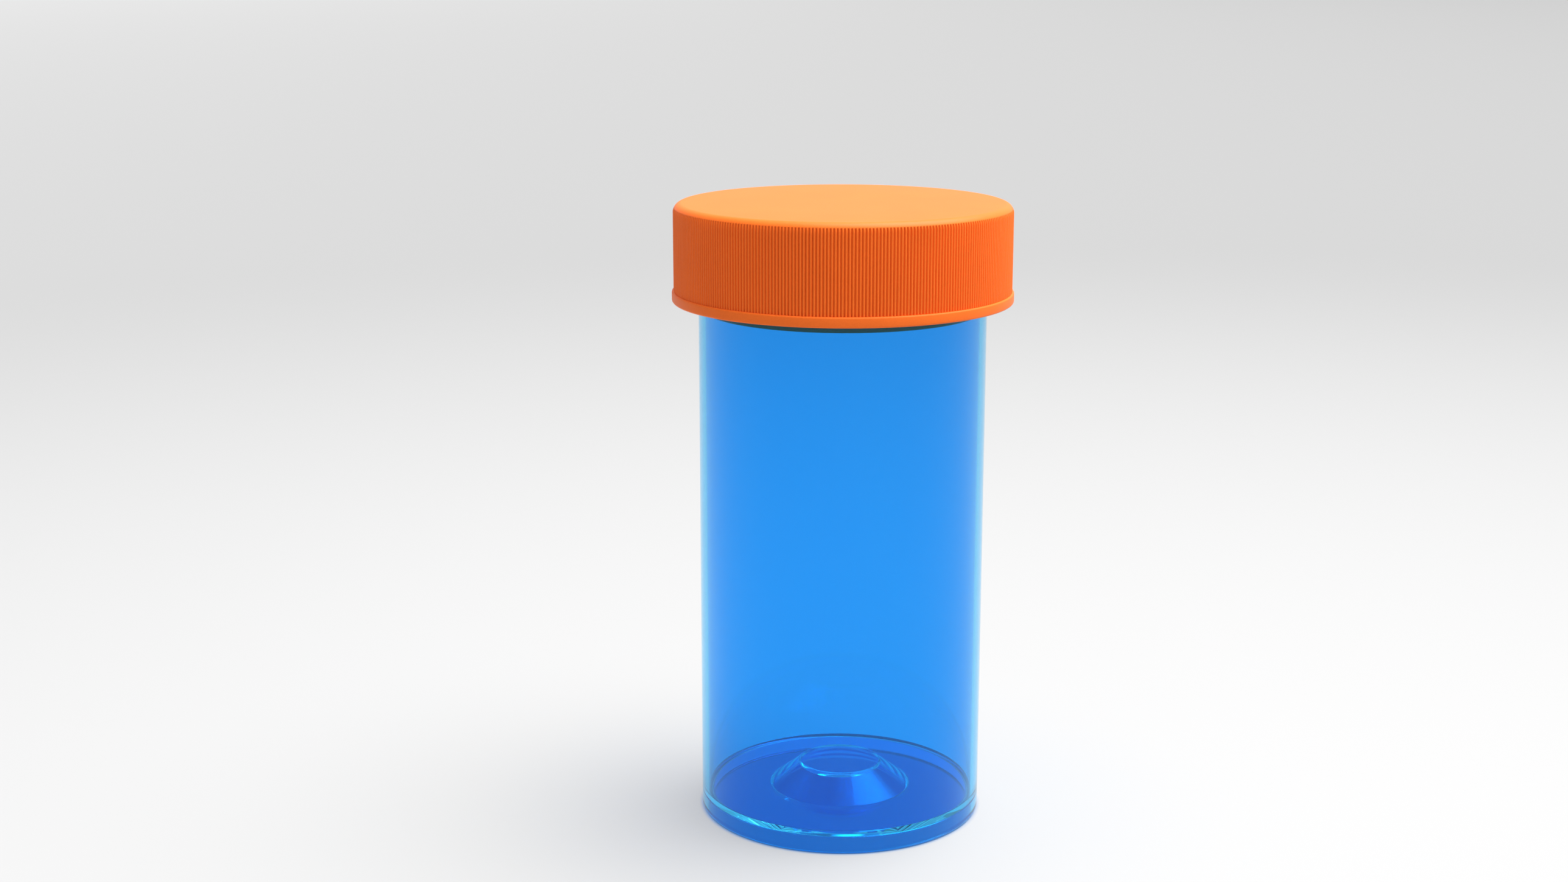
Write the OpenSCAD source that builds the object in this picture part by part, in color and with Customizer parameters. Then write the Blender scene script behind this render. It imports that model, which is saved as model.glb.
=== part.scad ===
// Prescription vial with a push-down-and-turn closure.
// +Z is up, the axis of the vial is Z, and the origin is the centre of the foot, on the surface it stands on.
// The closure is drawn pressed home and unlocked: each cap lug stands in a gap between two vial lugs.

/* [Vial] */
// Outside diameter of the barrel
vial_d = 42.5; // [38:0.5:48]
// Thickness of the barrel wall
wall_t = 1; // [0.9:0.05:1.3]
// Height of the mouth rim above the foot
mouth_z = 89.2; // [70:0.1:110]
// Height of the hollow inside the foot ring
foot_h = 2.35; // [1.5:0.05:3]
// Thickness of the foot ring
foot_t = 1.5; // [1.3:0.1:2]
// Thickness of the floor
floor_t = 1; // [0.8:0.1:1.4]
// Radius that rounds the foot ring's outer edge
foot_round = 0.6; // [0.3:0.1:1]

/* [Punt] */
// Diameter of the cone where it leaves the floor
punt_base_d = 20.8; // [18:0.2:24]
// Diameter of the cone's flat top
punt_rim_d = 12.5; // [11:0.1:14]
// Height of the flat top above the floor
punt_h = 3.5; // [3:0.1:4.2]

/* [Vial lugs] */
// Lugs round the mouth
lug_count = 6; // [4:1:6]
// How far a lug stands out from the barrel
lug_proud = 1.7; // [1.5:0.1:1.9]
// Height of the neck band that carries the lugs
band_h = 4.3; // [4:0.1:4.8]
// How far the neck band is set in from the barrel
band_step = 0.3; // [0.2:0.05:0.35]
// Angle that the stop block takes
stop_a = 16; // [14:1:16]
// Angle of the notch that holds a cap lug when the closure is locked
notch_a = 13; // [13:0.5:14]
// Angle of the locking hook
hook_a = 14; // [12:1:14]
// Thickness of the rail that joins the stop block and the hook
rail_t = 1.5; // [1.3:0.1:1.6]
// Depth of the hook below the mouth rim
hook_h = 2.6; // [2.4:0.1:2.7]

/* [Cap shell] */
// Height of the cap shell
cap_h = 14.4; // [13.5:0.1:16]
// Distance from the mouth rim up to the cap's top when the closure is pressed home
cap_over = 3.7; // [3.5:0.1:4.5]
// Thickness of the cap's top
cap_top_t = 1.4; // [1.2:0.1:2]
// Thickness of the skirt over its ribs
skirt_t = 1.68; // [1.5:0.02:2]
// Radius that rounds the top edge
cap_round = 1.35; // [1.2:0.05:2]
// Height of the plain flange at the skirt's lower edge
flange_h = 1.55; // [1.2:0.05:2]
// How far the flange stands out past the ribs
flange_proud = 0.27; // [0.2:0.01:0.5]
// Grip ribs round the skirt
rib_count = 320; // [120:20:320]
// Depth of the grooves between the ribs
rib_depth = 0.38; // [0.15:0.01:0.4]

/* [Cap lugs] */
// Angle that a cap lug takes
boss_a = 9.5; // [8:0.5:10]
// Height of a cap lug
boss_h = 2.2; // [1.8:0.1:2.4]
// Travel of the cap shell as it springs up into the lock
push_travel = 1.3; // [1:0.1:1.4]

/* [Plug seal] */
// Gap between the plug ring and the bore of the vial
plug_gap = 0.2; // [0.15:0.05:0.3]
// Thickness of the plug ring
plug_t = 0.75; // [0.6:0.05:1]
// Depth of the plug ring below the mouth rim
plug_h = 12.2; // [8:0.1:13]
// Thickness of the sealing disc
disc_t = 0.9; // [0.7:0.1:1]

/* [Spring disc] */
// Outside diameter of the spring disc
spring_d = 38; // [30:1:40]
// Thickness of the spring disc
spring_t = 0.5; // [0.4:0.05:0.6]
// Spring fingers
finger_count = 6; // [4:1:8]
// Width of the slots between the fingers
slot_w = 1.6; // [1:0.1:2.5]

/* [Hidden] */
$fn = 96;
vial_color = [0.10, 0.46, 0.88, 0.6];
cap_color = [0.96, 0.38, 0.12];
spring_color = [0.93, 0.93, 0.90];

// Vial
vial_r = vial_d / 2;
bore_r = vial_r - wall_t;
floor_z = foot_h + floor_t;
floor_fillet = 0.15;
foot_bevel = 0.3;
rim_chamfer = 0.35;
band_r = vial_r - band_step;
band_z = mouth_z - band_h;

// Punt: a cone of even thickness, so its underside is the upper side set back square to its slope
punt_t = 1;
punt_base_r = punt_base_d / 2;
punt_rim_r = punt_rim_d / 2;
punt_z = floor_z + punt_h;
punt_slope = (punt_base_r - punt_rim_r) / punt_h;
punt_under_r = punt_base_r - punt_t * sqrt(1 + punt_slope * punt_slope);
punt_ceiling_z = punt_z - punt_t;

// Vial lugs: they stop just short of the rim, so that the disc seals on the rim alone
lug_r = vial_r + lug_proud;
lug_pitch = 360 / lug_count;
lug_sink = 0.3;
lug_root_r = band_r - lug_sink;
lug_drop = 0.1;
lug_top_z = mouth_z - lug_drop;
stop_drop = 0.5;
stop_z = band_z - stop_drop;
rail_z = mouth_z - rail_t;
hook_z = mouth_z - hook_h;
lug_phase = 5;
lug_lap = 0.4;
hook_start_a = stop_a + notch_a;
lug_a = hook_start_a + hook_a;
cam_toe = 0.1;
cam_run = lug_root_r * sin(hook_a) - cam_toe;
cam_rise = rail_z + lug_lap - hook_z;
cam_r = (cam_run * cam_run + cam_rise * cam_rise) / (2 * cam_rise);

// Cap shell
fit_gap = 0.25;
cap_top_z = mouth_z + cap_over;
cap_z = cap_top_z - cap_h;
skirt_bore_r = lug_r + fit_gap;
cap_r = skirt_bore_r + skirt_t;
flange_r = cap_r + flange_proud;
flange_chamfer = 0.25;
flange_top_z = cap_z + flange_h;
ceiling_z = cap_top_z - cap_top_t;
rib_run_out = 0.1;
rib_top_z = cap_top_z - cap_round - rib_run_out;
crest_drop = 0.02;
rib_r = cap_r - crest_drop;
groove_r = cap_r - rib_depth;
core_drop = 0.05;
core_r = groove_r - core_drop;
rib_bed = 0.2;
rib_bed_r = core_r - rib_bed;
rib_overlap = 0.1;
rib_pitch = 360 / rib_count;
rib_land = 0.3;
pocket_step = 0.45;
disc_pocket_r = skirt_bore_r + pocket_step;
disc_pocket_z = mouth_z - push_travel - fit_gap;

// Cap lugs
boss_r = vial_r + fit_gap;
boss_sink = 0.3;
boss_out_r = skirt_bore_r + boss_sink;
boss_gap = 0.3;
boss_top_z = hook_z - boss_gap;
boss_mid_a = lug_phase + (lug_a + lug_pitch) / 2;

// Plug seal
plug_r = bore_r - plug_gap;
disc_r = disc_pocket_r - fit_gap;
disc_z = mouth_z + disc_t;
plug_chamfer = 0.25;

// Spring disc
spring_r = spring_d / 2;
spring_foot = 3;
spring_crown_r = 7;
spring_hole_r = 4;
spring_gap = 0.05;
spring_top_z = ceiling_z - spring_gap;
slot_rim = 1.5;
slot_in_r = spring_crown_r + slot_rim;
slot_len = spring_r - spring_foot - slot_in_r;
past = 1;

// Points of an arc round (r, z), from angle a0 to a1
function arc(r, z, radius, a0, a1, steps = 6) =
    [for (i = [0 : steps]) let (a = a0 + (a1 - a0) * i / steps) [r + radius * cos(a), z + radius * sin(a)]];

// Part of a ring with a square section, from angle a0 to a1
module ring_sector(r0, r1, z0, z1, a0, a1) {
    rotate([0, 0, a0])
        rotate_extrude(angle = a1 - a0)
            translate([r0, z0])
                square([r1 - r0, z1 - z0]);
}

// Half section of the vial without its lugs, from the foot up the outside, down the inside and back under
module vial_section() {
    polygon(concat(
        [[vial_r - foot_t + foot_bevel, 0]],
        arc(vial_r - foot_round, foot_round, foot_round, -90, 0),
        [[vial_r, band_z], [band_r, band_z], [band_r, mouth_z]],
        [[bore_r + rim_chamfer, mouth_z], [bore_r, mouth_z - rim_chamfer]],
        arc(bore_r - floor_fillet, floor_z + floor_fillet, floor_fillet, 0, -90),
        [
            [punt_base_r, floor_z], [punt_rim_r, punt_z], [0, punt_z], [0, punt_ceiling_z],
            [punt_under_r - punt_slope * (punt_ceiling_z - floor_z), punt_ceiling_z],
            [punt_under_r + punt_slope * floor_t, foot_h],
            [vial_r - foot_t, foot_h], [vial_r - foot_t, foot_bevel]
        ]
    ));
}

// One lug, from angle 0: a stop block, a notch under the rail and a hook whose underside is a rounded cam
module vial_lug() {
    ring_sector(lug_root_r, lug_r, stop_z, rail_z + lug_lap, 0, stop_a);
    ring_sector(lug_root_r, lug_r, rail_z, lug_top_z, 0, lug_a);
    intersection() {
        ring_sector(lug_root_r, lug_r, hook_z, rail_z + lug_lap, hook_start_a, lug_a);
        rotate([0, 0, hook_start_a])
            translate([lug_root_r - past, 0, hook_z + cam_r])
                rotate([0, 90, 0])
                    cylinder(h = lug_r - lug_root_r + 2 * past, r = cam_r);
    }
}

module vial_body() {
    color(vial_color) {
        rotate_extrude() vial_section();
        for (i = [0 : lug_count - 1])
            rotate([0, 0, lug_phase + i * lug_pitch]) vial_lug();
    }
}

// The disc that seals on the mouth rim, and the plug ring that hangs into the bore
module plug_seal() {
    color(cap_color)
        rotate_extrude()
            polygon([
                [0, mouth_z], [plug_r - plug_t, mouth_z], [plug_r - plug_t, mouth_z - plug_h],
                [plug_r - plug_chamfer, mouth_z - plug_h], [plug_r, mouth_z - plug_h + plug_chamfer],
                [plug_r, mouth_z], [disc_r, mouth_z], [disc_r, disc_z], [0, disc_z]
            ]);
}

// A shallow cone of spring fingers between the sealing disc and the cap's ceiling
module spring_disc() {
    color(spring_color)
        difference() {
            rotate_extrude()
                polygon([
                    [spring_hole_r, spring_top_z - spring_t], [spring_crown_r, spring_top_z - spring_t],
                    [spring_r - spring_foot, disc_z], [spring_r, disc_z], [spring_r, disc_z + spring_t],
                    [spring_r - spring_foot, disc_z + spring_t], [spring_crown_r, spring_top_z],
                    [spring_hole_r, spring_top_z]
                ]);
            for (i = [0 : finger_count - 1])
                rotate([0, 0, i * 360 / finger_count])
                    translate([slot_in_r, -slot_w / 2, disc_z - past])
                        cube([slot_len, slot_w, cap_over]);
        }
}

// Outline of the skirt's ribs: flat lands with V grooves between them
module rib_outline() {
    polygon([
        for (i = [0 : rib_count - 1]) each [
            rib_r * [cos((i - rib_land) * rib_pitch), sin((i - rib_land) * rib_pitch)],
            rib_r * [cos((i + rib_land) * rib_pitch), sin((i + rib_land) * rib_pitch)],
            groove_r * [cos((i + 0.5) * rib_pitch), sin((i + 0.5) * rib_pitch)]
        ]
    ]);
}

// Half section of the cap shell's plain turned form, from the flange up the outside and down the inside
module cap_section() {
    polygon(concat(
        [
            [skirt_bore_r, cap_z], [flange_r, cap_z], [flange_r, flange_top_z - flange_chamfer],
            [flange_r - flange_chamfer, flange_top_z], [core_r, flange_top_z],
            [core_r, rib_top_z], [cap_r, rib_top_z]
        ],
        arc(cap_r - cap_round, cap_top_z - cap_round, cap_round, 0, 90, 12),
        [
            [0, cap_top_z], [0, ceiling_z], [disc_pocket_r, ceiling_z],
            [disc_pocket_r, disc_pocket_z], [skirt_bore_r, disc_pocket_z]
        ]
    ));
}

module cap_shell() {
    color(cap_color) {
        rotate_extrude() cap_section();
        difference() {
            translate([0, 0, flange_top_z - rib_overlap])
                linear_extrude(rib_top_z - flange_top_z + 2 * rib_overlap) rib_outline();
            translate([0, 0, flange_top_z - past])
                cylinder(h = rib_top_z - flange_top_z + 2 * past, r = rib_bed_r);
        }
        for (i = [0 : lug_count - 1])
            rotate([0, 0, boss_mid_a + i * lug_pitch])
                ring_sector(boss_r, boss_out_r, boss_top_z - boss_h, boss_top_z, -boss_a / 2, boss_a / 2);
    }
}

vial_body();
plug_seal();
spring_disc();
cap_shell();
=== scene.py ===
"""Looks of the prescription vial: a clear blue vial with an orange ribbed push-and-turn closure."""

import math

import bmesh
import bpy
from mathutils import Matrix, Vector


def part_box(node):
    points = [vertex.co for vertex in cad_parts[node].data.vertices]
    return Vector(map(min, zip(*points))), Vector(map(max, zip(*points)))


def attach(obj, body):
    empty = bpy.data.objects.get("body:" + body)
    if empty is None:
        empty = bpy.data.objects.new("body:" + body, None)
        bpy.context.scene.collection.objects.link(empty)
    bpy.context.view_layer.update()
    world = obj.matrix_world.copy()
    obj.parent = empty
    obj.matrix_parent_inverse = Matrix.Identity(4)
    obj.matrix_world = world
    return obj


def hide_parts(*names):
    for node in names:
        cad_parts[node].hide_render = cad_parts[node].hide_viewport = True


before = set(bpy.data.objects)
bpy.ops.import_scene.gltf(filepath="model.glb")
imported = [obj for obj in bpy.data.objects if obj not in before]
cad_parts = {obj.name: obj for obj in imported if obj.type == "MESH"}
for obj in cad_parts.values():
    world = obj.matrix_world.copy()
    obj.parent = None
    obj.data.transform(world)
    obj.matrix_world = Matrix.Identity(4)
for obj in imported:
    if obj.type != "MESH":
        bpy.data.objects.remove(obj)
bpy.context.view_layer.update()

MM = 0.001
TURN = 2 * math.pi
# A ring this close to a rounded edge keeps the flat or straight wall beside it shading as flat or straight
LOOP = 0.05 * MM
# An angle too small to see, which puts a column that lies on a border on one side of it
HAIR = 1e-7


# ---------------------------------------------------------------- sizes, in metres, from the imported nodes

vial_low, vial_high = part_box("vial_body")
seal_low, seal_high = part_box("plug_seal")
cap_low, cap_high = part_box("cap_shell")

# Vial. Its box reaches out to the lugs, which cross the Y axis
LUG_R = (vial_high.y - vial_low.y) / 2
LUG_PROUD = 1.7 * MM
VIAL_R = LUG_R - LUG_PROUD
WALL = 1.0 * MM
BORE_R = VIAL_R - WALL
BAND_STEP = 0.3 * MM
BAND_R = VIAL_R - BAND_STEP
MOUTH_Z = vial_high.z
BAND_Z = MOUTH_Z - 4.3 * MM
FOOT_H = 2.35 * MM
FOOT_T = 1.5 * MM
FLOOR_T = 1.0 * MM
FLOOR_Z = FOOT_H + FLOOR_T
FOOT_ROUND = 0.6 * MM
FOOT_BEVEL = 0.3 * MM
FOOT_CORNER = 0.3 * MM
FLOOR_CORNER = 0.15 * MM
RIM_ROUND = 0.35 * MM
# The flat of the foot ring, which touches the table
TOUCH_IN_R = VIAL_R - FOOT_T + FOOT_BEVEL
TOUCH_OUT_R = VIAL_R - FOOT_ROUND

# Punt, the hollow cone in the floor
PUNT_BASE_R = 10.4 * MM
PUNT_RIM_R = 6.25 * MM
PUNT_Z = FLOOR_Z + 3.5 * MM
PUNT_T = 1.0 * MM
PUNT_FOOT = 0.5 * MM
PUNT_EDGE = 0.3 * MM

# Lugs round the mouth
LUGS = 6
PITCH = TURN / LUGS
PHASE = math.radians(5)
STOP_A, NOTCH_A, HOOK_A = (math.radians(a) for a in (16, 13, 14))
HOOK_START = STOP_A + NOTCH_A
LUG_A = HOOK_START + HOOK_A
STOP_Z = BAND_Z - 0.5 * MM
RAIL_Z = MOUTH_Z - 1.5 * MM
HOOK_Z = MOUTH_Z - 2.6 * MM
LUG_TOP_Z = MOUTH_Z - 0.1 * MM
# The hook's underside is an arc, which ends this far short of the hook's end and this far up inside the rail
CAM_TOE = 0.1 * MM
CAM_LAP = 0.4 * MM
# How far a lug's root lies inside the band
LUG_SINK = 0.3 * MM

# Cap shell. The smaller side of its box keeps the flange inside the box all the way round
FLANGE_R = min(cap_high.x, -cap_low.x)
CAP_R = FLANGE_R - 0.27 * MM
CAP_Z, CAP_TOP = cap_low.z, cap_high.z
FLANGE_TOP = CAP_Z + 1.55 * MM
FLANGE_LOW_ROUND = 0.3 * MM
FLANGE_TOP_ROUND = 0.25 * MM
CAP_ROUND = 1.35 * MM
ROUND_Z = CAP_TOP - CAP_ROUND
RIBS = 320
RIB_DEPTH = 0.38 * MM
RIB_TOP = CAP_TOP - 0.7 * MM
RIB_FADE = 0.55 * MM
CEILING = CAP_TOP - 1.4 * MM
SKIRT_R = LUG_R + 0.25 * MM
SKIRT_BEVEL = 0.3 * MM
POCKET_R = SKIRT_R + 0.45 * MM
POCKET_ROUND = 0.4 * MM
POCKET_Z = MOUTH_Z - 1.55 * MM
BOSS_R = VIAL_R + 0.25 * MM
BOSS_TOP = HOOK_Z - 0.3 * MM
BOSS_LOW = BOSS_TOP - 2.2 * MM
BOSS_A = math.radians(9.5)
BOSS_MID = PHASE + (LUG_A + PITCH) / 2

# Plug seal
DISC_R = (seal_high.x - seal_low.x) / 2
DISC_Z = seal_high.z
DISC_ROUND = 0.2 * MM
PLUG_Z = seal_low.z
PLUG_R = BORE_R - 0.2 * MM
PLUG_T = 0.75 * MM
PLUG_ROOT = 0.4 * MM


# ---------------------------------------------------------------- mesh tools


class PolarMesh:
    """A mesh round the Z axis. A point is (angle, radius, height), and equal points share one vertex."""

    def __init__(self):
        self.points, self.index, self.faces = [], {}, []

    def vert(self, angle, r, z):
        # On the axis every angle is one point, and elsewhere the last column meets the first
        if r < 1e-9:
            angle = 0.0
        key = (round(angle % TURN, 6) % round(TURN, 6), round(r, 8), round(z, 8))
        if key not in self.index:
            self.index[key] = len(self.points)
            self.points.append((r * math.cos(angle), r * math.sin(angle), z))
        return self.index[key]

    def face(self, *corners):
        ids = [self.vert(*c) for c in corners]
        ids = [v for i, v in enumerate(ids) if v != ids[i - 1]]
        if len(set(ids)) >= 3:
            self.faces.append(ids)

    def lathe(self, angles, profile):
        """Turns the profile, a list of (radius, height), all the way round, with a column at each angle."""
        for a0, a1 in zip(angles, angles[1:] + [angles[0] + TURN]):
            for low, high in zip(profile, profile[1:]):
                self.face((a0, *low), (a1, *low), (a1, *high), (a0, *high))

    def object(self, name, sharp_deg):
        """The mesh as an object that shades smoothly, except over edges sharper than sharp_deg."""
        mesh = bpy.data.meshes.new(name)
        mesh.from_pydata(self.points, [], self.faces)
        bm = bmesh.new()
        bm.from_mesh(mesh)
        bmesh.ops.recalc_face_normals(bm, faces=bm.faces)
        bm.to_mesh(mesh)
        bm.free()
        mesh.shade_smooth()
        mesh.set_sharp_from_angle(angle=math.radians(sharp_deg))
        obj = bpy.data.objects.new(name, mesh)
        bpy.context.scene.collection.objects.link(obj)
        return obj


def arc(r, z, radius, start_deg, end_deg, steps=8):
    """Points of an arc round (r, z) in the section plane."""
    turns = [math.radians(start_deg + (end_deg - start_deg) * i / steps) for i in range(steps + 1)]
    return [(r + radius * math.cos(t), z + radius * math.sin(t)) for t in turns]


def columns(stops, step):
    """Angles over a whole turn: every stop, and even steps between one stop and the next."""
    out = []
    for a0, a1 in zip(stops, stops[1:] + [stops[0] + TURN]):
        n = max(1, math.ceil((a1 - a0) / step - 1e-6))
        out += [a0 + (a1 - a0) * i / n for i in range(n)]
    return out


# ---------------------------------------------------------------- vial


def cam_line():
    """Radius of the hook's rounded underside, and the angle at which it meets the rail."""
    root_r = BAND_R - LUG_SINK
    run = root_r * math.sin(HOOK_A) - CAM_TOE
    rise = RAIL_Z + CAM_LAP - HOOK_Z
    radius = (run * run + rise * rise) / (2 * rise)
    drop = RAIL_Z - HOOK_Z
    meet = math.asin(math.sqrt(2 * radius * drop - drop * drop) / LUG_R)
    return radius, meet


def vial_body():
    """One closed skin: foot ring, barrel, lugs, rim, bore, floor with its cone, and the hollow base."""
    cam_r, cam_a = cam_line()
    stops = []
    for i in range(LUGS):
        start = PHASE + i * PITCH
        stops += [start + a for a in (0, STOP_A, HOOK_START, HOOK_START + cam_a, LUG_A)]
    angles = columns(stops, math.radians(0.75))

    def local(angle):
        return (angle - PHASE) % PITCH

    def hook_line(angle):
        """Height of the line that the hook's underside follows, carried on round the band."""
        a = local(angle + HAIR)
        if a < HOOK_START:
            return HOOK_Z
        if a <= HOOK_START + cam_a + 2 * HAIR:
            s = LUG_R * math.sin(a - HOOK_START)
            return min(RAIL_Z, HOOK_Z + cam_r - math.sqrt(cam_r * cam_r - s * s))
        under_light_share = (a - HOOK_START - cam_a) / (PITCH - HOOK_START - cam_a)
        return RAIL_Z + (HOOK_Z - RAIL_Z) * under_light_share

    def filled(angle):
        """Which of the five rows, from the stop block's foot up to the mouth rim, hold lug."""
        a = local(angle)
        stop = a < STOP_A
        hook = HOOK_START <= a < HOOK_START + cam_a
        return [stop, stop, stop or hook, a < LUG_A, False]

    def levels(angle):
        return [STOP_Z, BAND_Z, hook_line(angle), RAIL_Z, LUG_TOP_Z, MOUTH_Z]

    base_r = [VIAL_R] + [BAND_R] * 4
    mesh = PolarMesh()
    spans = list(zip(angles, angles[1:] + [angles[0] + TURN]))
    cells = [filled((a0 + a1) / 2) for a0, a1 in spans]
    for i, (a0, a1) in enumerate(spans):
        z0, z1 = levels(a0), levels(a1)
        below = VIAL_R
        for k, full in enumerate(cells[i]):
            r = LUG_R if full else base_r[k]
            mesh.face((a0, below, z0[k]), (a1, below, z1[k]), (a1, r, z1[k]), (a0, r, z0[k]))
            mesh.face((a0, r, z0[k]), (a1, r, z1[k]), (a1, r, z1[k + 1]), (a0, r, z0[k + 1]))
            below = r
            if full != cells[i - 1][k]:
                foot = [(a0, VIAL_R, z0[k])] if k == 1 else []
                wall = [(a0, base_r[k], z0[k]), *foot, (a0, LUG_R, z0[k])]
                mesh.face(*wall, (a0, LUG_R, z0[k + 1]), (a0, base_r[k], z0[k + 1]))

    foot_in_r = VIAL_R - FOOT_T
    slope = (PUNT_BASE_R - PUNT_RIM_R) / (PUNT_Z - FLOOR_Z)
    under_r = PUNT_BASE_R - PUNT_T * math.sqrt(1 + slope * slope)
    slope_deg = math.degrees(math.atan(1 / slope))
    ceiling_z = PUNT_Z - PUNT_T
    outside = [(TOUCH_IN_R, 0)] + arc(TOUCH_OUT_R, FOOT_ROUND, FOOT_ROUND, -90, 0)
    outside += [(VIAL_R, FOOT_ROUND + LOOP), (VIAL_R, STOP_Z)]
    inside = [(BAND_R, MOUTH_Z)]
    inside += arc(BORE_R + RIM_ROUND, MOUTH_Z - RIM_ROUND, RIM_ROUND, 90, 180)
    inside += [(BORE_R, MOUTH_Z - RIM_ROUND - LOOP), (BORE_R, FLOOR_Z + FLOOR_CORNER + LOOP)]
    inside += arc(BORE_R - FLOOR_CORNER, FLOOR_Z + FLOOR_CORNER, FLOOR_CORNER, 0, -90, 5)
    inside += [(BORE_R - FLOOR_CORNER - LOOP, FLOOR_Z), (PUNT_BASE_R + PUNT_FOOT + LOOP, FLOOR_Z)]
    inside += arc(PUNT_BASE_R + PUNT_FOOT, FLOOR_Z + PUNT_FOOT, PUNT_FOOT, -90, -90 - slope_deg, 6)
    inside += arc(PUNT_RIM_R - PUNT_EDGE, PUNT_Z - PUNT_EDGE, PUNT_EDGE, 90 - slope_deg, 90, 8)
    inside += [(PUNT_RIM_R - PUNT_EDGE - LOOP, PUNT_Z), (0, PUNT_Z)]
    under_light = [(0, ceiling_z), (under_r - slope * (ceiling_z - FLOOR_Z), ceiling_z)]
    under_light += [(under_r + slope * FLOOR_T, FOOT_H), (foot_in_r - FOOT_CORNER - LOOP, FOOT_H)]
    under_light += arc(foot_in_r - FOOT_CORNER, FOOT_H - FOOT_CORNER, FOOT_CORNER, 90, 0, 5)
    under_light += arc(TOUCH_IN_R, FOOT_BEVEL, FOOT_BEVEL, 180, 270, 5)
    mesh.lathe(angles, outside)
    mesh.lathe(angles, inside)
    mesh.lathe(angles, under_light)
    return mesh.object("blue_vial", sharp_deg=35)


# ---------------------------------------------------------------- closure


def cap_shell():
    """The ribbed shell: flange, rounded ribs that run out under the top edge, pocket and cap lugs."""
    per_rib = 6
    angles = [TURN * i / (RIBS * per_rib) for i in range(RIBS * per_rib)]

    def rib_r(i, z):
        """Radius of column i: a crest that follows the cap's outline, and a groove that runs out."""
        crest = CAP_R
        if z > ROUND_Z:
            crest += math.sqrt(CAP_ROUND ** 2 - (z - ROUND_Z) ** 2) - CAP_ROUND
        groove = ((1 - math.cos(TURN * i / per_rib)) / 2) ** 3
        left = min(1.0, (RIB_TOP - z) / RIB_FADE)
        return crest - RIB_DEPTH * groove * math.sqrt(1 - (1 - left) ** 2)

    mesh = PolarMesh()
    rib_rows = [FLANGE_TOP] + [RIB_TOP - RIB_FADE * (1 - i / 6) for i in range(7)]
    top_deg = math.degrees(math.asin((RIB_TOP - ROUND_Z) / CAP_ROUND))
    top = arc(CAP_R - CAP_ROUND, ROUND_Z, CAP_ROUND, top_deg, 90, 12)
    low, up = FLANGE_LOW_ROUND, FLANGE_TOP_ROUND
    flange = [(SKIRT_R + SKIRT_BEVEL, CAP_Z)]
    flange += arc(FLANGE_R - low, CAP_Z + low, low, -90, 0, 4)
    flange += arc(FLANGE_R - up, FLANGE_TOP - up, up, 0, 80, 4)
    mesh.lathe(angles, flange)
    edge = flange[-1]
    for i, a0 in enumerate(angles):
        a1 = angles[i + 1] if i + 1 < len(angles) else TURN
        low0, low1 = (rib_r(i, FLANGE_TOP), FLANGE_TOP), (rib_r(i + 1, FLANGE_TOP), FLANGE_TOP)
        mesh.face((a0, *edge), (a1, *edge), (a1, *low1), (a0, *low0))
        for z, z_up in zip(rib_rows, rib_rows[1:]):
            mesh.face(
                (a0, rib_r(i, z), z), (a1, rib_r(i + 1, z), z),
                (a1, rib_r(i + 1, z_up), z_up), (a0, rib_r(i, z_up), z_up),
            )
    mesh.lathe(angles, top + [((CAP_R - CAP_ROUND) / 2, CAP_TOP), (0, CAP_TOP)])
    pocket = [(0, CEILING)]
    pocket += arc(POCKET_R - POCKET_ROUND, CEILING - POCKET_ROUND, POCKET_ROUND, 90, 0, 4)
    pocket += [(POCKET_R, POCKET_Z), (SKIRT_R, POCKET_Z), (SKIRT_R, BOSS_TOP)]
    mesh.lathe(angles, pocket)
    in_boss = [
        abs((a + TURN / len(angles) / 2 - BOSS_MID + PITCH / 2) % PITCH - PITCH / 2) < BOSS_A / 2
        for a in angles
    ]
    for i, a0 in enumerate(angles):
        a1 = angles[i + 1] if i + 1 < len(angles) else TURN
        r = BOSS_R if in_boss[i] else SKIRT_R
        mesh.face((a0, SKIRT_R, BOSS_TOP), (a1, SKIRT_R, BOSS_TOP), (a1, r, BOSS_TOP), (a0, r, BOSS_TOP))
        mesh.face((a0, r, BOSS_TOP), (a1, r, BOSS_TOP), (a1, r, BOSS_LOW), (a0, r, BOSS_LOW))
        mesh.face((a0, r, BOSS_LOW), (a1, r, BOSS_LOW), (a1, SKIRT_R, BOSS_LOW), (a0, SKIRT_R, BOSS_LOW))
        if in_boss[i] != in_boss[i - 1]:
            mesh.face(
                (a0, SKIRT_R, BOSS_TOP), (a0, BOSS_R, BOSS_TOP),
                (a0, BOSS_R, BOSS_LOW), (a0, SKIRT_R, BOSS_LOW),
            )
    mesh.lathe(angles, [(SKIRT_R, BOSS_LOW), (SKIRT_R, CAP_Z + SKIRT_BEVEL), (SKIRT_R + SKIRT_BEVEL, CAP_Z)])
    obj = mesh.object("orange_cap", sharp_deg=50)
    smooth_ribs(obj.data)
    return obj


def smooth_ribs(mesh):
    """Keeps the upright edges of the ribs smooth, so that each rib shades as one rounded ridge."""
    # Both limits lie just past the ribs, so that rounding leaves no edge out
    groove_r = CAP_R - RIB_DEPTH - 0.05 * MM
    foot_z = FLANGE_TOP - 0.01 * MM
    for edge in mesh.edges:
        a, b = (mesh.vertices[v].co for v in edge.vertices)
        upright = abs(a.z - b.z) > 1e-6
        outer = min(math.hypot(a.x, a.y), math.hypot(b.x, b.y)) > groove_r
        if upright and outer and min(a.z, b.z) > foot_z:
            edge.use_edge_sharp = False


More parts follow.
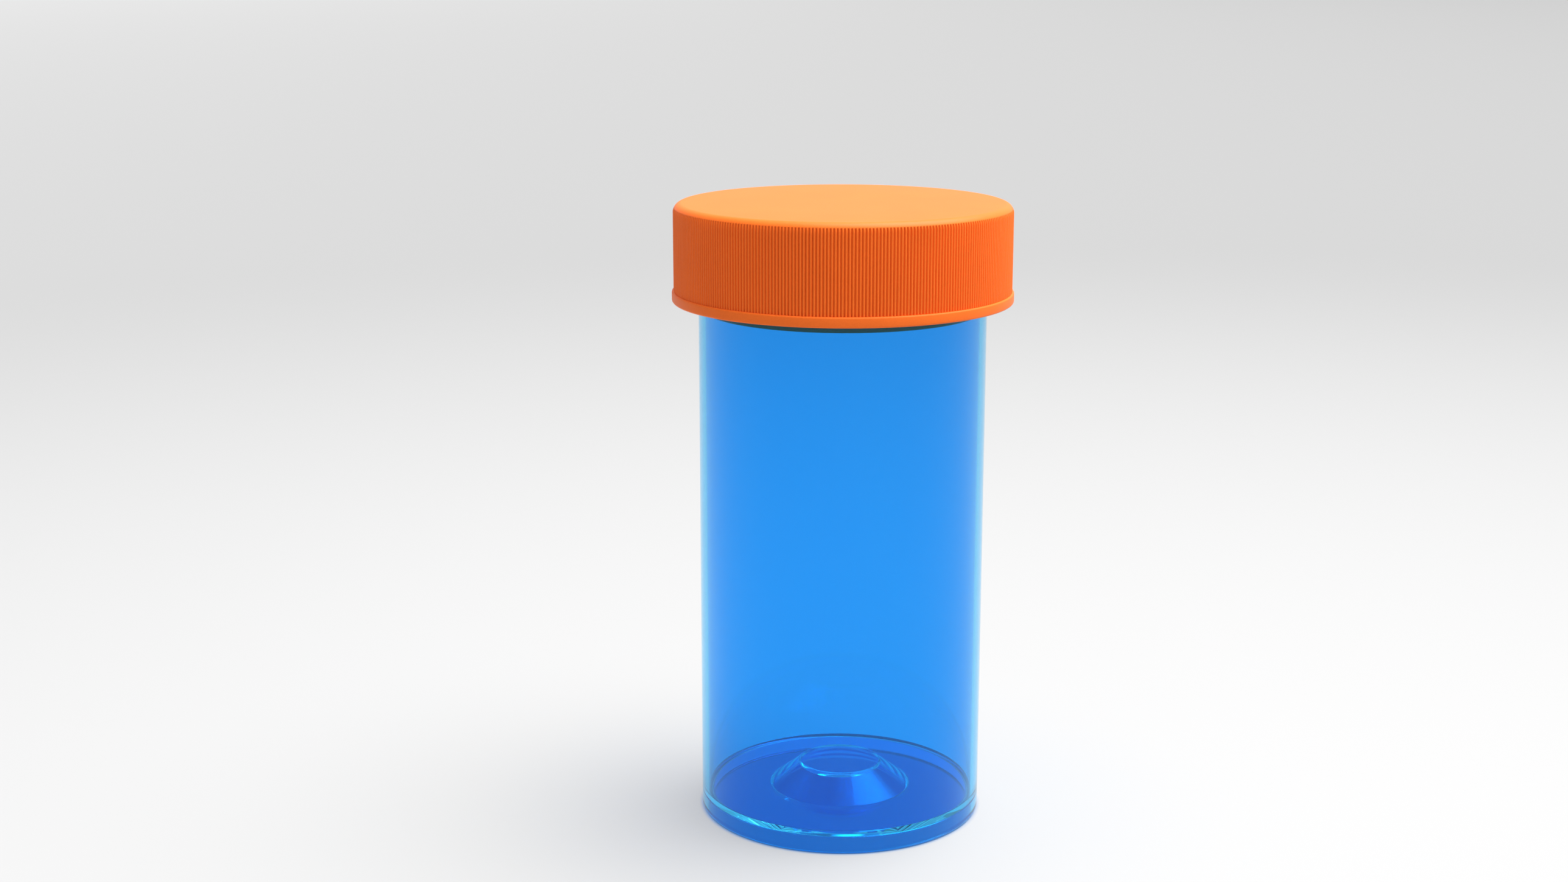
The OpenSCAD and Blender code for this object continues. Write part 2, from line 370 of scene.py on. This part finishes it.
def plug_seal():
    """The sealing disc, with the plug ring that hangs into the bore."""
    angles = columns([0], math.radians(1.5))
    in_r = PLUG_R - PLUG_T
    tip = PLUG_T / 2
    mesh = PolarMesh()
    section = [(0, MOUTH_Z), (in_r - PLUG_ROOT, MOUTH_Z)]
    section += arc(in_r - PLUG_ROOT, MOUTH_Z - PLUG_ROOT, PLUG_ROOT, 90, 0, 5)
    section += arc(in_r + tip, PLUG_Z + tip, tip, 180, 360, 12)
    section += [(PLUG_R, MOUTH_Z), (DISC_R - DISC_ROUND, MOUTH_Z)]
    section += arc(DISC_R - DISC_ROUND, MOUTH_Z + DISC_ROUND, DISC_ROUND, -90, 0, 4)
    section += arc(DISC_R - DISC_ROUND, DISC_Z - DISC_ROUND, DISC_ROUND, 0, 90, 4)
    section += [(0, DISC_Z)]
    mesh.lathe(angles, section)
    return mesh.object("orange_plug_seal", sharp_deg=35)


# ---------------------------------------------------------------- materials


def new_material(name):
    mat = bpy.data.materials.new(name)
    mat.use_nodes = True
    nodes, links = mat.node_tree.nodes, mat.node_tree.links
    return mat, nodes, links, nodes["Principled BSDF"]


def noise(nodes, links, scale, detail=3.0, stretch=(1, 1, 1)):
    """Noise over the object's own space, with its size set by scale, in cycles a metre."""
    where = nodes.new("ShaderNodeTexCoord")
    mapping = nodes.new("ShaderNodeMapping")
    mapping.inputs["Scale"].default_value = stretch
    texture = nodes.new("ShaderNodeTexNoise")
    texture.inputs["Scale"].default_value = scale
    texture.inputs["Detail"].default_value = detail
    links.new(where.outputs["Object"], mapping.inputs["Vector"])
    links.new(mapping.outputs["Vector"], texture.inputs["Vector"])
    return texture.outputs["Fac"]


def ramp(nodes, links, source, low, high):
    """Maps a 0 to 1 value to the range from low to high."""
    span = nodes.new("ShaderNodeMapRange")
    span.inputs["To Min"].default_value = low
    span.inputs["To Max"].default_value = high
    links.new(source, span.inputs["Value"])
    return span.outputs["Result"]


def blend_colours(nodes, links, source, first, second):
    mix = nodes.new("ShaderNodeMix")
    mix.data_type = "RGBA"
    mix.inputs["A"].default_value = (*first, 1)
    mix.inputs["B"].default_value = (*second, 1)
    links.new(source, mix.inputs["Factor"])
    return mix.outputs["Result"]


def add_bump(nodes, links, shader, source, strength, distance):
    bump = nodes.new("ShaderNodeBump")
    bump.inputs["Strength"].default_value = strength
    bump.inputs["Distance"].default_value = distance
    links.new(source, bump.inputs["Height"])
    links.new(bump.outputs["Normal"], shader.inputs["Normal"])


def blue_plastic():
    """Clear polypropylene, coloured through, with the faint waviness of a moulding."""
    mat, nodes, links, shader = new_material("blue_polypropylene")
    shader.inputs["Transmission Weight"].default_value = 1.0
    shader.inputs["IOR"].default_value = 1.49
    # Untinted reflections came out whiter than the photo's
    shader.inputs["Specular Tint"].default_value = (0.65, 0.92, 1.0, 1)
    flow = noise(nodes, links, scale=60, detail=2.0, stretch=(1, 1, 0.15))
    tint = blend_colours(nodes, links, flow, (0.025, 0.535, 0.98), (0.031, 0.555, 0.985))
    links.new(tint, shader.inputs["Base Color"])
    links.new(ramp(nodes, links, noise(nodes, links, scale=900), 0.0, 0.03), shader.inputs["Roughness"])
    add_bump(nodes, links, shader, flow, strength=0.04, distance=0.1 * MM)
    return mat


def orange_plastic():
    """Opaque polypropylene with a fine moulded grain."""
    mat, nodes, links, shader = new_material("orange_polypropylene")
    shader.inputs["IOR"].default_value = 1.49
    shader.inputs["Specular IOR Level"].default_value = 0.12
    cloud = noise(nodes, links, scale=150)
    grain = noise(nodes, links, scale=5200, detail=2.0)
    mottle = nodes.new("ShaderNodeMix")
    mottle.inputs["Factor"].default_value = 0.6
    links.new(cloud, mottle.inputs["A"])
    links.new(grain, mottle.inputs["B"])
    tint = blend_colours(nodes, links, mottle.outputs["Result"], (0.78, 0.128, 0.014), (0.98, 0.180, 0.022))
    links.new(tint, shader.inputs["Base Color"])
    links.new(ramp(nodes, links, grain, 0.34, 0.50), shader.inputs["Roughness"])
    add_bump(nodes, links, shader, grain, strength=0.25, distance=0.03 * MM)
    return mat


def natural_plastic():
    """Uncoloured polyethylene, slightly cloudy, for the hidden spring disc."""
    mat, nodes, links, shader = new_material("natural_polyethylene")
    cloud = noise(nodes, links, scale=300)
    tint = blend_colours(nodes, links, cloud, (0.78, 0.78, 0.73), (0.86, 0.86, 0.82))
    links.new(tint, shader.inputs["Base Color"])
    links.new(ramp(nodes, links, cloud, 0.45, 0.6), shader.inputs["Roughness"])
    shader.inputs["Subsurface Weight"].default_value = 0.1
    shader.inputs["Subsurface Radius"].default_value = (0.002, 0.002, 0.002)
    return mat


# ---------------------------------------------------------------- the object

blue, orange, natural = blue_plastic(), orange_plastic(), natural_plastic()
for make, node, body, material, slot in (
    (vial_body, "vial_body", "vial", blue, "vial_plastic"),
    (plug_seal, "plug_seal", "seal", orange, "closure_plastic"),
    (cap_shell, "cap_shell", "cap", orange, "closure_plastic"),
):
    piece = make()
    piece.data.materials.append(material)
    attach(piece, body)
    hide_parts(node)

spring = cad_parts["spring_disc"]
spring.data.materials.clear()
spring.data.materials.append(natural)


# ---------------------------------------------------------------- stage, light and camera

# A span is where something changes smoothly, and the levels are its values at the span's two ends

# Table, in metres. Its glow and colour hold painted light: a painted pool of light, brightest near the vial,
# and painted light that is brighter on its left than on its right
TABLE_REACH = 12
TABLE_CELLS = 24
TABLE_ALBEDO = 0.18
# Strength of the table's glow, which is painted light
PAINTED_TABLE_GLOW = 0.495
LIGHT_POOL_CENTRE = (0.10, -0.05, 0)
LIGHT_POOL_SPAN, LIGHT_POOL_LEVELS = (0, 0.7), (1, 0.69)
ACROSS_LIGHT_SPAN, ACROSS_LIGHT_LEVELS = (-3, 3), (1.18, 0.82)

# Under the vial: a painted contact shadow, a darker ring where the foot touches, and painted light with the
# colour of the wall it would have come through
CONTACT_SHADOW_IN_SPAN, CONTACT_SHADOW_IN_LEVELS = (TOUCH_IN_R - 0.6 * MM, TOUCH_IN_R), (0, 0.6)
CONTACT_SHADOW_OUT_SPAN, CONTACT_SHADOW_OUT_LEVELS = (TOUCH_OUT_R, TOUCH_OUT_R + 0.5 * MM), (1, 0)
PAINTED_UNDER_LIGHT_COLOUR = (0.08, 0.38, 1.0)
UNDER_LIGHT_SPAN, UNDER_LIGHT_LEVELS = (TOUCH_OUT_R, VIAL_R + 0.6 * MM), (1, 0.08)
AROUND_LIGHT_SPAN, AROUND_LIGHT_LEVELS = (VIAL_R, 3 * VIAL_R), (1, 0)

# Room, by direction: X is right, Y is away from the camera and Z is up. Haze lightens it low down, so that
# it meets the table's far edge softly, and the back of it is brighter
HEIGHT_SPAN, HEIGHT_LEVELS = (0, 0.6), (0.46, 0.56)
SIDE_SPAN, SIDE_LEVELS = (-0.9, 0.5), (0.58, 1.14)
HAZE_SPAN, HAZE_LEVELS = (0, 0.2), (1, 0)
HAZE_SIDE_SPAN, HAZE_SIDE_LEVELS = (-1, 1), (0.48, 0.08)
BACK_SPAN, BACK_LEVELS = (0.55, 0.95), (0, 0.30)
BACK_LOW_SPAN, BACK_LOW_LEVELS = (0, 0.15), (0, 1)

# Softbox: its direction, and its brightness from its rim to its core, by the cosine of the angle off it
SOFTBOX_WAY = Vector((0.36, 0.10, 0.93)).normalized()
SOFTBOX_SPAN, SOFTBOX_LEVELS = (0.79, 0.985), (0, 11.4)

# Camera: its place in barrel radii, and how many degrees it looks down and to the left
CAMERA_BACK, CAMERA_UP = 14.957, 6.111
CAMERA_DOWN, CAMERA_LEFT = 12.90, 1.557

# Light passes many thin walls in the clear foot, so paths are followed further than usual
BOUNCES = 96


def smooth_step(nodes, links, source, span, levels):
    """Goes smoothly from the first level to the second while the source crosses the span."""
    step = nodes.new("ShaderNodeMapRange")
    step.interpolation_type = "SMOOTHSTEP"
    step.inputs["From Min"].default_value, step.inputs["From Max"].default_value = span
    step.inputs["To Min"].default_value, step.inputs["To Max"].default_value = levels
    links.new(source, step.inputs["Value"])
    return step.outputs["Result"]


def combine(nodes, links, operation, first, second):
    node = nodes.new("ShaderNodeMath")
    node.operation = operation
    links.new(first, node.inputs[0])
    links.new(second, node.inputs[1])
    return node.outputs["Value"]


def multiply(nodes, links, first, second):
    return combine(nodes, links, "MULTIPLY", first, second)


def add(nodes, links, first, second):
    return combine(nodes, links, "ADD", first, second)


def distance_from(nodes, links, where, point):
    away = nodes.new("ShaderNodeVectorMath")
    away.operation = "DISTANCE"
    away.inputs[1].default_value = point
    links.new(where, away.inputs[0])
    return away.outputs["Value"]


def table_look():
    """A pale table that glows a little with painted light, greys with distance from a painted pool of light,
    and is blue and darker where the vial stands, from painted blue light and a painted contact shadow.
    """
    mat, nodes, links, shader = new_material("pale_floor_painted_light")
    where = nodes.new("ShaderNodeTexCoord").outputs["Object"]
    split = nodes.new("ShaderNodeSeparateXYZ")
    links.new(where, split.inputs["Vector"])
    # Painted light: a pool of light round a point near the vial, and light that is brighter on the left, in
    # both glow and colour
    from_light_pool = distance_from(nodes, links, where, LIGHT_POOL_CENTRE)
    light_pool = smooth_step(nodes, links, from_light_pool, LIGHT_POOL_SPAN, LIGHT_POOL_LEVELS)
    across_light = smooth_step(nodes, links, split.outputs["X"], ACROSS_LIGHT_SPAN, ACROSS_LIGHT_LEVELS)
    from_axis = distance_from(nodes, links, where, (0, 0, 0))
    # Painted contact shadow: a darker ring where the foot touches the table
    shadow_in = smooth_step(nodes, links, from_axis, CONTACT_SHADOW_IN_SPAN, CONTACT_SHADOW_IN_LEVELS)
    shadow_out = smooth_step(nodes, links, from_axis, CONTACT_SHADOW_OUT_SPAN, CONTACT_SHADOW_OUT_LEVELS)
    outside_contact_shadow = ramp(nodes, links, multiply(nodes, links, shadow_in, shadow_out), 1, 0)
    painted_level = multiply(nodes, links, multiply(nodes, links, light_pool, across_light), outside_contact_shadow)
    links.new(ramp(nodes, links, painted_level, 0, TABLE_ALBEDO), shader.inputs["Base Color"])
    # Painted blue light under the vial, as though it had come through the blue wall, fading out around it
    under_light = smooth_step(nodes, links, from_axis, UNDER_LIGHT_SPAN, UNDER_LIGHT_LEVELS)
    around_light = smooth_step(nodes, links, from_axis, AROUND_LIGHT_SPAN, AROUND_LIGHT_LEVELS)
    under_light_share = multiply(nodes, links, under_light, around_light)
    under_light_tint = blend_colours(nodes, links, under_light_share, (1, 1, 1), PAINTED_UNDER_LIGHT_COLOUR)
    painted_glow = nodes.new("ShaderNodeVectorMath")
    painted_glow.operation = "MULTIPLY"
    links.new(under_light_tint, painted_glow.inputs[0])
    links.new(painted_level, painted_glow.inputs[1])
    # The glow is painted light, blue under the vial
    links.new(painted_glow.outputs["Vector"], shader.inputs["Emission Color"])
    shader.inputs["Emission Strength"].default_value = PAINTED_TABLE_GLOW
    shader.inputs["Roughness"].default_value = 0.9
    shader.inputs["Specular IOR Level"].default_value = 0.1
    return mat


def table():
    """The wide, flat table that the vial stands on."""
    bm = bmesh.new()
    bmesh.ops.create_grid(bm, x_segments=TABLE_CELLS, y_segments=TABLE_CELLS, size=TABLE_REACH)
    mesh = bpy.data.meshes.new("floor")
    bm.to_mesh(mesh)
    bm.free()
    obj = bpy.data.objects.new("floor", mesh)
    bpy.context.scene.collection.objects.link(obj)
    obj.data.materials.append(table_look())


def studio_light():
    """A broad softbox, high on the right, in a pale room that is darker on its left and hazy low down."""
    world = bpy.data.worlds.new("studio")
    bpy.context.scene.world = world
    world.use_nodes = True
    nodes, links = world.node_tree.nodes, world.node_tree.links
    where = nodes.new("ShaderNodeTexCoord").outputs["Generated"]
    split = nodes.new("ShaderNodeSeparateXYZ")
    links.new(where, split.inputs["Vector"])
    x, y, z = (split.outputs[axis] for axis in "XYZ")
    height = smooth_step(nodes, links, z, HEIGHT_SPAN, HEIGHT_LEVELS)
    side = smooth_step(nodes, links, x, SIDE_SPAN, SIDE_LEVELS)
    room = multiply(nodes, links, height, side)
    haze_height = smooth_step(nodes, links, z, HAZE_SPAN, HAZE_LEVELS)
    haze_side = smooth_step(nodes, links, x, HAZE_SIDE_SPAN, HAZE_SIDE_LEVELS)
    haze = multiply(nodes, links, haze_height, haze_side)
    back_far = smooth_step(nodes, links, y, BACK_SPAN, BACK_LEVELS)
    back_low = smooth_step(nodes, links, z, BACK_LOW_SPAN, BACK_LOW_LEVELS)
    back = multiply(nodes, links, back_far, back_low)
    towards = nodes.new("ShaderNodeVectorMath")
    towards.operation = "DOT_PRODUCT"
    towards.inputs[1].default_value = SOFTBOX_WAY
    links.new(where, towards.inputs[0])
    softbox = smooth_step(nodes, links, towards.outputs["Value"], SOFTBOX_SPAN, SOFTBOX_LEVELS)
    total = add(nodes, links, add(nodes, links, room, haze), add(nodes, links, back, softbox))
    links.new(total, nodes["Background"].inputs["Color"])


def photo_camera():
    """The photo's viewpoint, fitted to the outlines of the standing vial."""
    camera = bpy.data.objects.new("camera", bpy.data.cameras.new("camera"))
    camera.data.lens = 50
    camera.data.sensor_width = 36
    camera.data.clip_start = 0.01
    camera.location = (0, -CAMERA_BACK * VIAL_R, CAMERA_UP * VIAL_R)
    camera.rotation_euler = (math.radians(90 - CAMERA_DOWN), 0, math.radians(CAMERA_LEFT))
    bpy.context.scene.collection.objects.link(camera)
    bpy.context.scene.camera = camera


table()
studio_light()
photo_camera()
bpy.context.scene.view_settings.view_transform = "Standard"

cycles = bpy.context.scene.cycles
cycles.max_bounces = BOUNCES
cycles.transmission_bounces = BOUNCES
cycles.glossy_bounces = BOUNCES
